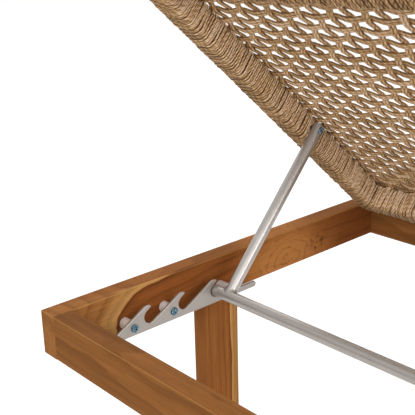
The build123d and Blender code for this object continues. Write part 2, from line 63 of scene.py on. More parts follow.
joint_at = {joint["name"]: np.array(joint["pos_m"]) for joint in frame["joints"]}
hinge_at = joint_at["backrest_hinge"]
pivot_at = joint_at["prop_pivot"]
SEED = 7

# Wound cord
WRAP_CORNER = 14 / 23  # corner radius of a wound bar, as a share of half its width
WRAP_WANDER = 0.0017  # how far a turn strays along its bar
WRAP_BULGE = 0.0010  # how far a turn stands out or in
WRAP_SINK = 0.0004  # mean depth of the turns inside the swelled outline
WRAP_TONES = 0.6  # spread of the turns' shades
WRAP_UNDER_PAINTED_SHADE = 1.2  # painted shade: how much darker the under side is
WRAP_INSIDE_PAINTED_LIGHT = 0.38  # painted light: how much paler the side toward the weave is
# Painted shade: the dark sleeve under the turns shows as shade in the gaps between them.
UNDERLAY_PAINTED_SHADE = -0.6
CORD_SIDES = 8
LAY_LENGTH = 0.019  # length of one twist

# Woven cord
POINTS_PER_CROSSING = 6
TUCK = 0.010  # length of each strand inside its border
STRAND_DRIFT = 0.0009  # how far a cord strays sideways
STRAND_LIFT = 0.0004  # how far a strand strays up or down
STRAND_WORN = 0.25  # spread of shade along a strand
STRAND_SPREAD = 0.96  # distance between a cord's two strands, as a share of their thickness
STRAND_WIDE, STRAND_HIGH = 1.03, 0.84  # section of a strand, as shares of its thickness
BORDER_PAINTED_SHADE = 1.8  # painted shade: how much darker a strand is where it goes into its border
BORDER_FADE = 0.007  # length over which that fades
BESIDE_PAINTED_SHADE_NEAR, BESIDE_PAINTED_SHADE_FAR = 1.7, 0.6  # painted shade: how much darker the two strands along a border are

# Steel
WELD_REACH = 0.0062
WELD_SWELL = 0.0004
SCREW_DOME = 0.0036
SCREW_SPACING = 0.04  # length along X of the cells that part the points of the screws
SHANK_RADIUS = 0.0025
SHANK_LAP = 0.001  # from the top of the head to the start of the shank
SCREWED = {"ratchet_screws_left": "frame", "ratchet_screws_right": "frame", "pivot_screws": "backrest"}
ARM_SLOPE = radians(48.5)
# Painted light: the spacers sit in shade between plate and rail, so they get a paler, nearly matt copy of the
# steel.
SLEEVE_PAINTED_LIGHT_TINT = (0.78, 0.74, 0.70)
ALUMINIUM_TINT = (0.6, 0.6, 0.6)
# Painted glint: the pale colour of the spots on the screw heads.
ZINC_PAINTED_GLINT = (0.50, 0.58, 0.60, 1.0)

# Teak: sizes of the heart and the knot along X, Y and Z
RAIL_HEART, RAIL_KNOT = (0.080, 0.30, 0.062), (0.05, 0.3, 0.03)
CROSS_HEART = (0.20, 0.30, 0.13)
LEG_HEART = (0.039, 0.9, 0.3)
PLAIN_KNOT = (0.1, 0.1, 0.1)
OFF_BOARD = (9.0, 9.0, 9.0)  # where a knot or a top is put that a board lacks

# Stage
FLOOR_HALF = 15.0
FLOOR_GLOW = 0.74
FLOOR_ALBEDO = 0.55
GLOSSY_WORLD = 0.9


def length_setting(name, description, default):
    """A length that a user may change."""
    return FloatProperty(name=name, description=description, default=default, unit="LENGTH")


def colour_setting(name, description, default):
    """A colour that a user may change."""
    return FloatVectorProperty(
        name=name, description=description, default=default, subtype="COLOR", size=3, min=0.0, max=1.0)


class CordSettings(bpy.types.PropertyGroup):
    """Sizes and colours of the cord."""

    wrap_thick: length_setting("Wrap thickness", "Thickness of the wound cord", 0.0045)
    wrap_pitch: length_setting("Wrap pitch", "Distance from one turn to the next", 0.0046)
    swell: length_setting("Swell", "How far the turns stand out past the plain sleeve", 0.0014)
    sag: length_setting("Sag", "How far the turns hang toward the under side", 0.0010)
    fan_length: length_setting("Corner fan", "Length over which the turns lean to the mitre", 0.11)
    strand_thick: length_setting("Strand thickness", "Thickness of one strand of the weave", 0.0055)
    cross_pitch: length_setting("Cross cord pitch", "Distance between cross cords", 0.025)
    long_pitch: length_setting("Long cord pitch", "Distance between lengthwise cords", 0.0292)
    edge_gap: length_setting("Edge gap", "From a border to the first cord of the weave", 0.0098)
    wave: length_setting("Weave wave", "Rise of a cord over its neighbour", 0.0022)
    light: colour_setting("Light", "Colour of the raised fibres", (0.765, 0.472, 0.219))
    # Painted highlight: the colour laid on the topmost fibres.
    bright: colour_setting("Bright", "Colour of the topmost fibres", (0.87, 0.64, 0.45))
    # The dark colour also serves as the painted shade in the grooves and on the flanks.
    dark: colour_setting("Dark", "Colour in the twist of the cord", (0.105, 0.048, 0.017))


class TeakSettings(bpy.types.PropertyGroup):
    """Colours of the oiled teak."""

    heart: colour_setting("Heart", "Heartwood", (0.262, 0.083, 0.0195))
    sap: colour_setting("Sap", "Paler wood outside the heart", (0.335, 0.138, 0.039))
    fringe: colour_setting("Fringe", "Palest wood, next to the heart", (0.52, 0.272, 0.088))
    line: colour_setting("Line", "Dark growth lines and resin", (0.07, 0.020, 0.006))


class MetalSettings(bpy.types.PropertyGroup):
    """Colours of the metals."""

    satin: colour_setting("Satin steel", "Satin stainless steel", (0.40, 0.366, 0.336))
    tube: colour_setting("Tube steel", "Satin steel of the prop bar", (0.40, 0.37, 0.342))
    # Painted light: the arms get a brighter copy of the satin steel, to lift them where the backrest shades them.
    arm: colour_setting("Arm steel", "Brighter steel of the prop arms", (0.46, 0.43, 0.405))
    zinc: colour_setting("Zinc", "Blue zinc of the screws", (0.10, 0.19, 0.245))


class StageSettings(bpy.types.PropertyGroup):
    """Camera and light."""

    camera_at: FloatVectorProperty(
        name="Camera", description="Where the camera stands", default=(-1.5568, -0.6738, 0.8717),
        subtype="TRANSLATION", size=3)
    yaw: FloatProperty(name="Yaw", description="Turn from +Y toward +X, degrees", default=41.42)
    pitch: FloatProperty(name="Pitch", description="Tilt down, degrees", default=18.65)
    roll: FloatProperty(name="Roll", description="Roll of the camera, degrees", default=-1.54)
    lens: FloatProperty(name="Lens", description="Focal length on a 36 mm sensor", default=70.65)
    key: FloatProperty(name="Key", description="Power of the key light", default=82.0, unit="POWER")
    fill: FloatProperty(name="Fill", description="Strength of the light from all round", default=0.50)


def settings(name):
    """One settings group of the scene."""
    return getattr(bpy.context.scene, "lounger_" + name)


# Meshes


def tube_grid(path, up, half_wide, half_high, sides, shade):
    """Round tubes along paths, as a grid of points (tube, step, side, xyz) with its map and shades.

    path and up are (tubes, steps, 3). At each step the side direction is tangent x up, and the ring is
    path + half_wide cos(a) side + half_high sin(a) lift, where lift is side x tangent.
    """
    tangent = np.gradient(path, axis=1)
    tangent /= np.linalg.norm(tangent, axis=2, keepdims=True)
    side = np.cross(tangent, up)
    side /= np.linalg.norm(side, axis=2, keepdims=True)
    lift = np.cross(side, tangent)
    angle = np.linspace(0, 2 * pi, sides, endpoint=False)
    wide = np.cos(angle)[:, None] * half_wide * side[:, :, None]
    high = np.sin(angle)[:, None] * half_high * lift[:, :, None]
    step = np.linalg.norm(np.diff(path, axis=1), axis=2)
    run = np.concatenate([np.zeros((len(path), 1)), np.cumsum(step, axis=1)], axis=1)
    points = path[:, :, None] + (wide + high)
    return {"points": points, "run": run, "closed": True, "shade": shade[:, :, None]}


def sheet_grid(points, shade, closed=False):
    """One open or closed sheet of points (step, side, xyz) as a grid like a tube's."""
    step = np.linalg.norm(np.diff(points[:, 0], axis=0), axis=1)
    run = np.concatenate([[0.0], np.cumsum(step)])
    return {"points": points[None], "run": run[None], "closed": closed, "shade": shade}


def grid_faces(count, steps, sides, closed, first):
    """Corner numbers of all quads of a grid, and each corner's place along and round it."""
    across = sides if closed else sides - 1
    tube, step, side = np.meshgrid(np.arange(count), np.arange(steps - 1), np.arange(across), indexing="ij")
    along = np.stack([step, step + 1, step + 1, step], axis=-1)
    round_ = np.stack([side, side, side + 1, side + 1], axis=-1)
    corners = (tube[..., None] * steps + along) * sides + round_ % sides + first
    return corners.reshape(-1, 4), along.reshape(-1, 4), round_.reshape(-1, 4), tube.reshape(-1)


def build(name, grids, material):
    """One smooth mesh object from grids; closed grids get flat end caps."""
    points, loops, totals, maps, shades = [], [], [], [], []
    first = 0
    for grid in grids:
        rows = grid["points"]
        count, steps, sides = rows.shape[:3]
        corners, along, round_, tube = grid_faces(count, steps, sides, grid["closed"], first)
        points.append(rows.reshape(-1, 3))
        loops.append(corners.reshape(-1))
        totals.append(np.full(len(corners), 4))
        maps.append(np.stack([grid["run"][tube[:, None], along], round_ / sides], axis=-1).reshape(-1, 2))
        shades.append(np.broadcast_to(grid["shade"], rows.shape[:3]).reshape(-1))
        if grid["closed"]:
            ring = np.arange(sides)
            start = first + np.arange(count)[:, None] * steps * sides
            near = start + ring[None]
            far = start + (steps - 1) * sides + ring[::-1][None]
            caps = np.concatenate([near, far])
            loops.append(caps.reshape(-1))
            totals.append(np.full(len(caps), sides))
            maps.append(np.zeros((caps.size, 2)))
        first += count * steps * sides
    points = np.concatenate(points)
    loops = np.concatenate(loops)
    totals = np.concatenate(totals)
    mesh = bpy.data.meshes.new(name)
    mesh.vertices.add(len(points))
    mesh.vertices.foreach_set("co", points.astype(np.float32).reshape(-1))
    mesh.loops.add(len(loops))
    mesh.loops.foreach_set("vertex_index", loops.astype(np.int32))
    mesh.polygons.add(len(totals))
    mesh.polygons.foreach_set("loop_start", np.concatenate([[0], np.cumsum(totals)[:-1]]).astype(np.int32))
    mesh.polygons.foreach_set("loop_total", totals.astype(np.int32))
    mesh.polygons.foreach_set("use_smooth", np.ones(len(totals), dtype=bool))
    layer = mesh.uv_layers.new(name="run")
    layer.data.foreach_set("uv", np.concatenate(maps).astype(np.float32).reshape(-1))
    shade = mesh.attributes.new("shade", "FLOAT", "POINT")
    shade.data.foreach_set("value", np.concatenate(shades).astype(np.float32))
    mesh.update()
    mesh.validate()
    mesh.materials.append(material)
    piece = bpy.data.objects.new(name, mesh)
    bpy.context.scene.collection.objects.link(piece)
    return piece


def smooth_noise(rng, spots, count, size):
    """Random values at a few even spots, joined by straight lines, count values in all."""
    knots = rng.uniform(-size, size, spots)
    return np.interp(np.linspace(0, spots - 1, count), np.arange(spots), knots)


# Panel frames


class Place:
    """A panel's own frame: along toward the foot, across toward the left, out of the sitting side."""

    def __init__(self, origin, along):
        self.origin = np.array(origin, dtype=float)
        self.along = np.array(along, dtype=float)
        self.across = np.array((0.0, 1.0, 0.0))
        self.out = np.cross(self.along, self.across)

    def world(self, a, c, o):
        """Points in the object's frame from along, across and out values."""
        parts = np.broadcast_arrays(a, c, o)
        axes = (self.along, self.across, self.out)
        return self.origin + sum(part[..., None] * axis for part, axis in zip(parts, axes))

    def extent(self, node):
        """Lowest and highest along, across and out values of a CAD node."""
        mesh = frame["nodes"][node].data
        points = np.empty(len(mesh.vertices) * 3, dtype=np.float32)
        mesh.vertices.foreach_get("co", points)
        local = (points.reshape(-1, 3) - self.origin) @ np.stack([self.along, self.across, self.out], axis=1)
        return local.min(axis=0), local.max(axis=0)


def panel_places():
    """The two panels: name, body, frame and the words for their two end bars."""
    rise = (hinge_at - pivot_at) / np.linalg.norm(hinge_at - pivot_at)
    seat_level = (0.0, 0.0, hinge_at[2])
    return (
        ("seat", "frame", Place(seat_level, (1.0, 0.0, 0.0)), "head", "foot"),
        ("backrest", "backrest", Place(hinge_at, rise), "top", "low"),
    )


# Cord


def outline(half_wide, half_high, corner, arc_points, side_points):
    """Closed rounded rectangle: points, outward normals and the share of the way round at each.

    Each corner is a quarter arc about its own centre, and the straight runs between get evenly
    spread points, so a turn of cord has its points where it bends.
    """
    angle = np.linspace(0, pi / 2, arc_points)
    quarter = np.arange(4) * pi / 2
    turn = (quarter[:, None] + angle[None]).reshape(-1)
    normal = np.stack([np.cos(turn), np.sin(turn)], axis=1)
    signs = np.array(((1, 1), (-1, 1), (-1, -1), (1, -1)))
    centre = np.repeat(signs * (half_wide - corner, half_high - corner), arc_points, axis=0)
    point = centre + corner * normal
    both = np.concatenate([point, normal], axis=1)
    both = np.concatenate([both, both[:1]])
    run = np.concatenate([[0.0], np.cumsum(np.linalg.norm(np.diff(both[:, :2], axis=0), axis=1))])
    ends = [corner_number * arc_points for corner_number in range(1, 5)]
    blanks = [np.linspace(run[end - 1], run[end], side_points + 2)[1:-1] for end in ends]
    spots = np.sort(np.concatenate([run[:-1]] + blanks))
    filled = np.stack([np.interp(spots, run, both[:, i]) for i in range(4)], axis=1)
    return filled[:, :2], filled[:, 2:], spots / run[-1]


def mitre_lean(a, low, high, fan):
    """How far the turns lean: 1 at the low end, -1 at the high end, 0 between, eased over the fan."""
    start = np.clip(1 - (a - low) / fan, 0, 1)
    stop = np.clip(1 - (high - a) / fan, 0, 1)
    return start - stop


def winding(low, high, to_point, half_wide, half_high, corner, hand, rng):
    """Grids of one wound bar: a helix of cord over a dark underlay of painted shade, leaning to the mitres at its
    ends.

    The cord's centre line goes round a rounded rectangle half a cord inside the bar's outline while it
    advances one pitch a turn. A point's place along the bar is shifted by lean times its distance
    across the bar, so the first and last turns lie in the mitre planes. The section swells and sags by the
    settings, the turns stray by seeded noise, and hand tells which way round the underlay's faces go.
    """
    cord = settings("cord")
    inset = cord.wrap_thick / 2
    swelled = half_high + cord.swell - inset
    section, normal, share = outline(half_wide + cord.swell / 2 - inset, swelled, corner - inset, 5, 3)
    turns = int((high - low) / cord.wrap_pitch) - 1
    pitch = (high - low - cord.wrap_thick) / turns
    count = turns * len(share)
    section = section - (0.0, cord.sag)
    wide = np.tile(section[:, 0], turns)
    tall = np.tile(section[:, 1], turns)
    out_wide = np.tile(normal[:, 0], turns)
    out_tall = np.tile(normal[:, 1], turns)
    a = low + inset + pitch * (np.repeat(np.arange(turns), len(share)) + np.tile(share, turns))
    a = a + smooth_noise(rng, turns * 8, count, WRAP_WANDER)
    bulge = smooth_noise(rng, turns * 6, count, WRAP_BULGE) - WRAP_SINK
    lean = -mitre_lean(a, low, high, cord.fan_length)
    path = to_point(a + lean * wide, wide + bulge * out_wide, tall + bulge * out_tall)
    base = to_point(np.zeros(1), np.zeros(1), np.zeros(1))
    up = to_point(np.zeros(count), out_wide, out_tall) - base
    shade = smooth_noise(rng, turns * 2, count, WRAP_TONES) + 0.5
    # Painted light makes the side toward the weave paler.
    # Painted shade darkens the under side of each bar.
    shade = shade - WRAP_UNDER_PAINTED_SHADE * np.clip(-out_tall - 0.5, 0, 1) + WRAP_INSIDE_PAINTED_LIGHT * np.clip(-out_wide, 0, 1)
    cords = tube_grid(path[None], up[None], inset, inset, CORD_SIDES, shade[None])
    # The underlay: a dark sheet of painted shade under the turns.
    rows = np.array((low + inset / 2, low + cord.fan_length, high - cord.fan_length, high - inset / 2))
    rows = rows[:, None]
    slope = -mitre_lean(rows, low, high, cord.fan_length)
    sleeve = to_point(rows + slope * section[:, 0], section[:, 0] + 0 * rows, section[:, 1] + 0 * rows)
    return [cords, sheet_grid(sleeve[:, ::-1] if hand > 0 else sleeve, UNDERLAY_PAINTED_SHADE, True)]


def bar_pieces(rng):
    """Every wound bar of both panels as (name, node, body, grids)."""
    made = []
    for name, body, place, low_word, high_word in panel_places():
        low, high = place.extent(name + "_wrap_left")
        half_wide = (high[1] - low[1]) / 2
        half_high = (high[2] - low[2]) / 2
        corner = half_wide * WRAP_CORNER
        outer = high[1]
        for side, word in ((1, "left"), (-1, "right")):
            middle = side * (outer - half_wide)

            def along_bar(a, wide, tall, middle=middle, side=side, place=place):
                return place.world(a, middle + side * wide, tall)

            grids = winding(
                low[0] + half_wide, high[0] - half_wide, along_bar, half_wide, half_high, corner, side, rng)
            made.append((name + "_winding_" + word, name + "_wrap_" + word, body, grids))
        for word, middle, side in ((low_word, low[0] + half_wide, -1), (high_word, high[0] - half_wide, 1)):

            def across_bar(a, wide, tall, middle=middle, side=side, place=place):
                return place.world(middle + side * wide, a, tall)

            grids = winding(
                -outer + half_wide, outer - half_wide, across_bar, half_wide, half_high, corner, -side, rng)
            made.append((name + "_winding_" + word, name + "_wrap_" + word, body, grids))
    return made


def weave_cords(place, run_axis, starts, run_low, run_high, tuck, first, pitch, phase, height, rng):
    """Pairs of strands that run one way through a plain weave, as one grid.

    A cord's height is wave cos(pi (s - first) / pitch + phase), so it is over one cross cord and under
    the next. Each cord is two strands, half a strand to either side, with a small seeded drift. Painted
    shade darkens the strands along the borders and, by an exponential, where they go tuck deep into them.
    """
    cord = settings("cord")
    steps = int((run_high - run_low) / pitch * POINTS_PER_CROSSING)
    s = np.linspace(run_low, run_high, steps)
    half = cord.strand_thick / 2
    beside_shade = np.zeros((len(starts), 2))
    beside_shade[0], beside_shade[-1] = (BESIDE_PAINTED_SHADE_NEAR, BESIDE_PAINTED_SHADE_FAR), (BESIDE_PAINTED_SHADE_FAR, BESIDE_PAINTED_SHADE_NEAR)
    paths, ups, shades = [], [], []
    for number, start in enumerate(starts):
        rise = height + cord.wave * np.cos(pi * (s - first) / pitch + phase[number])
        drift = smooth_noise(rng, steps // 15 + 2, steps, STRAND_DRIFT)
        tone = rng.uniform(0.2, 1.0)
        for step_side in (0, 1):
            level = rise + smooth_noise(rng, steps // 12 + 2, steps, STRAND_LIFT)
            offset = start + drift + (2 * step_side - 1) * half * STRAND_SPREAD
            values = (s, offset + 0 * s, level) if run_axis == "along" else (offset + 0 * s, s, level)
            paths.append(place.world(*values))
            ups.append(np.broadcast_to(place.out, (steps, 3)))
            uneven_tone = smooth_noise(rng, steps // 22 + 2, steps, STRAND_WORN)
            from_border = np.maximum(np.minimum(s - run_low, run_high - s) - tuck, 0)
            # Painted shade along the borders and where the strands go into them.
            dark = beside_shade[number, step_side] + BORDER_PAINTED_SHADE * np.exp(-from_border / BORDER_FADE)
            shades.append(tone + uneven_tone - dark)
    wide, high = half * STRAND_WIDE, half * STRAND_HIGH
    return tube_grid(np.stack(paths), np.stack(ups), wide, high, CORD_SIDES, np.stack(shades))


def weave_pieces(rng):
    """The long and the cross cords of both panels as (name, node, body, grid)."""
    cord = settings("cord")
    made = []
    for name, body, place, low_word, high_word in panel_places():
        side_low = place.extent(name + "_wrap_left")[0]
        first_end = place.extent(name + "_wrap_" + low_word)[1]
        last_end = place.extent(name + "_wrap_" + high_word)[0]
        net_low, net_high = place.extent(name + "_net")
        a_low, a_high = first_end[0], last_end[0]
        half = side_low[1]
        level = (net_low[2] + net_high[2]) / 2
        cross_count = round((a_high - a_low - 2 * cord.edge_gap) / cord.cross_pitch) + 1
        long_count = round((2 * half - 2 * cord.edge_gap) / cord.long_pitch) + 1
        cross_at = np.linspace(a_low + cord.edge_gap, a_high - cord.edge_gap, cross_count)
        long_at = np.linspace(-half + cord.edge_gap, half - cord.edge_gap, long_count)
        cross_step = cross_at[1] - cross_at[0]
        long_step = long_at[1] - long_at[0]
        long_phase = pi * np.arange(long_count)
        cross_phase = pi * np.arange(cross_count) + pi
        grid = weave_cords(
            place, "along", long_at, a_low - TUCK, a_high + TUCK, TUCK, cross_at[0], cross_step, long_phase,
            level, rng)
        made.append((name + "_long_cords", name + "_net", body, grid))
        grid = weave_cords(
            place, "across", cross_at, -half - TUCK, half + TUCK, TUCK, long_at[0], long_step, cross_phase,
            level, rng)
        made.append((name + "_cross_cords", name + "_net", body, grid))
    return made


# Steel


def weld_grid(foot, arm, normal, radius, reach):
    """Concave weld round the foot of a prop arm on its bar.

    Round the arm by angle a, the two equal tubes meet at height radius |cos a|. Each strip of the weld is a
    quadratic curve from the arm, one reach above that line, by way of the line, to the bar, one reach out.
    """
    a = np.linspace(0, 2 * pi, 73)[:, None]
    t = np.linspace(0, 1, 9)[None, :, None]
    across = np.array((0.0, 1.0, 0.0))
    height = np.sqrt((radius * np.cos(a)) ** 2 + (0.1 * radius) ** 2)
    ring = foot + radius * (np.cos(a) * across + np.sin(a) * normal)
    seam = ring + height * arm
    start = ring + (height + reach) * arm
    roll = np.arcsin(np.clip(np.sin(a), -1, 1)) + reach / radius * np.sin(a)
    on_bar = radius * (np.cos(roll) * arm + np.sin(roll) * normal)
    stop = foot + (radius + reach) * np.cos(a) * across + on_bar
    swell = WELD_SWELL * (np.cos(a) * across + np.sin(a) * normal)
    start, seam, stop = (start + swell * 0.3)[:, None], (seam + swell)[:, None], stop[:, None]
    return (1 - t) ** 2 * start + 2 * t * (1 - t) * seam + t ** 2 * stop


def screw_grid(centre, face, radius, height, turn):
    """Domed screw head with a cross recess, as one sheet of points from its centre to its rim and back.

    Distance from the axis and angle give each point. The dome falls by the square of the distance and
    rounds over at the rim. Inside the two bars of the cross, the surface drops by the recess depth, with
    sloping walls.
    """
    dome = np.linspace(0.02, 0.92, 30)
    lip = np.linspace(0.2, pi / 2, 8)
    reach = np.concatenate([dome, 0.92 + 0.08 * np.sin(lip), [1.0, 0.45]])
    drop = np.concatenate([0.42 * dome ** 2, 1 - 0.64 * np.cos(lip), [1.0, 1.0]])
    angle = np.linspace(0, 2 * pi, 96, endpoint=False)
    u = reach[:, None] * np.cos(angle + turn)
    v = reach[:, None] * np.sin(angle + turn)
    bar_half, bar_long, side_soft, end_soft = 0.105, 0.50, 0.05, 0.18

    def inside(p, q):
        across = np.clip((bar_half - np.abs(p)) / side_soft + 0.5, 0, 1)
        return across * np.clip((bar_long - np.abs(q)) / end_soft + 0.5, 0, 1)

    recess = np.maximum(inside(u, v), inside(v, u)) * (reach[:, None] < 0.7)
    lift = height * (1 - drop[:, None]) - 0.55 * height * recess
    side_x = np.array((1.0, 0.0, 0.0))
    side_z = np.cross(side_x, face)
    around = np.cos(angle)[:, None] * side_x + np.sin(angle)[:, None] * side_z
    place = centre + radius * reach[:, None, None] * around
    # The second value is 1 out of the recess and 0 in it; it sets the painted shade there.
    return place + lift[..., None] * face, 1 - recess


def screw_boxes(node):
    """Lowest and highest corners of each screw in a node, parted by where its points lie along X and Y."""
    mesh = frame["nodes"][node].data
    points = np.empty(len(mesh.vertices) * 3, dtype=np.float32)
    mesh.vertices.foreach_get("co", points)
    points = points.reshape(-1, 3)
    keys = np.round(points[:, 0] / SCREW_SPACING) * 10 + np.sign(points[:, 1])
    return [(points[keys == key].min(axis=0), points[keys == key].max(axis=0)) for key in np.unique(keys)]


# Shader helpers


def put(tree, kind, inputs=(), **options):
    """Add one shader node; inputs are (socket, value or linked output) pairs."""
    made = tree.nodes.new(kind)
    for key, value in options.items():
        setattr(made, key, value)
    for key, value in inputs:
        if isinstance(value, bpy.types.NodeSocket):
            tree.links.new(value, made.inputs[key])
        else:
            made.inputs[key].default_value = value
    return made


def calc(tree, operation, a, b=0.0, c=0.0):
    """Output of one Math node."""
    return put(tree, "ShaderNodeMath", ((0, a), (1, b), (2, c)), operation=operation).outputs[0]


def vector(tree, operation, a, b=(0.0, 0.0, 0.0)):
    """The Vector Math node for an operation."""
    return put(tree, "ShaderNodeVectorMath", ((0, a), (1, b)), operation=operation)


def stretch(tree, source, scale, shift=(0.0, 0.0, 0.0), turn=(0.0, 0.0, 0.0)):
    """A vector scaled, turned and then shifted."""
    inputs = (("Vector", source), ("Location", shift), ("Rotation", turn), ("Scale", scale))
    return put(tree, "ShaderNodeMapping", inputs).outputs[0]


def noise(tree, source, scale, detail=2.0, rough=0.5):
    """Value of a noise texture."""
    inputs = (("Vector", source), ("Scale", scale), ("Detail", detail), ("Roughness", rough))
    return put(tree, "ShaderNodeTexNoise", inputs).outputs[0]


def span(tree, value, low, high, to_low=0.0, to_high=1.0, smooth=True):
    """A value carried from one range to another, with soft ends."""
    kind = "SMOOTHSTEP" if smooth else "LINEAR"
    inputs = (
        ("Value", value), ("From Min", low), ("From Max", high), ("To Min", to_low), ("To Max", to_high))
    return put(tree, "ShaderNodeMapRange", inputs, interpolation_type=kind).outputs[0]


def blend(tree, share, a, b, kind="MIX"):
    """Two colours mixed by a share."""
    made = put(tree, "ShaderNodeMix", ((0, share), (6, a), (7, b)), data_type="RGBA", blend_type=kind)
    return made.outputs[2]


def rgba(colour):
    """A settings colour with full alpha."""
    return (*colour, 1.0)


def group(name, inputs, outputs):
    """A new shader node group with its sockets, as (group, inputs node, outputs node)."""
    made = bpy.data.node_groups.new(name, "ShaderNodeTree")
    for title, kind in inputs:
        made.interface.new_socket(title, in_out="INPUT", socket_type=kind)
    for title, kind in outputs:
        made.interface.new_socket(title, in_out="OUTPUT", socket_type=kind)
    return made, made.nodes.new("NodeGroupInput"), made.nodes.new("NodeGroupOutput")


def principled(name):
    """A new material with its tree and shader node."""
    made = bpy.data.materials.new(name)
    made.use_nodes = True
    return made, made.node_tree, made.node_tree.nodes["Principled BSDF"]


def bump(tree, height, distance):
    """Normal output of a Bump node at full strength."""
    inputs = (("Height", height), ("Distance", distance), ("Strength", 1.0))
    return put(tree, "ShaderNodeBump", inputs).outputs[0]


VECTOR, FLOAT, COLOR = "NodeSocketVector", "NodeSocketFloat", "NodeSocketColor"
FINISH = (("Color", COLOR), ("Roughness", FLOAT), ("Height", FLOAT))


def finish_group(tree, nodes_out, colour, rough, height):
    """Join a group's three finish values to its outputs."""
    tree.links.new(colour, nodes_out.inputs["Color"])
    tree.links.new(rough, nodes_out.inputs["Roughness"])
    tree.links.new(height, nodes_out.inputs["Height"])


def dress(tree, shader, used, distance):
    """Feed a finish group's outputs to a Principled shader."""
    tree.links.new(used.outputs["Color"], shader.inputs["Base Color"])
    tree.links.new(used.outputs["Roughness"], shader.inputs["Roughness"])
    tree.links.new(bump(tree, used.outputs["Height"], distance), shader.inputs["Normal"])


# Materials


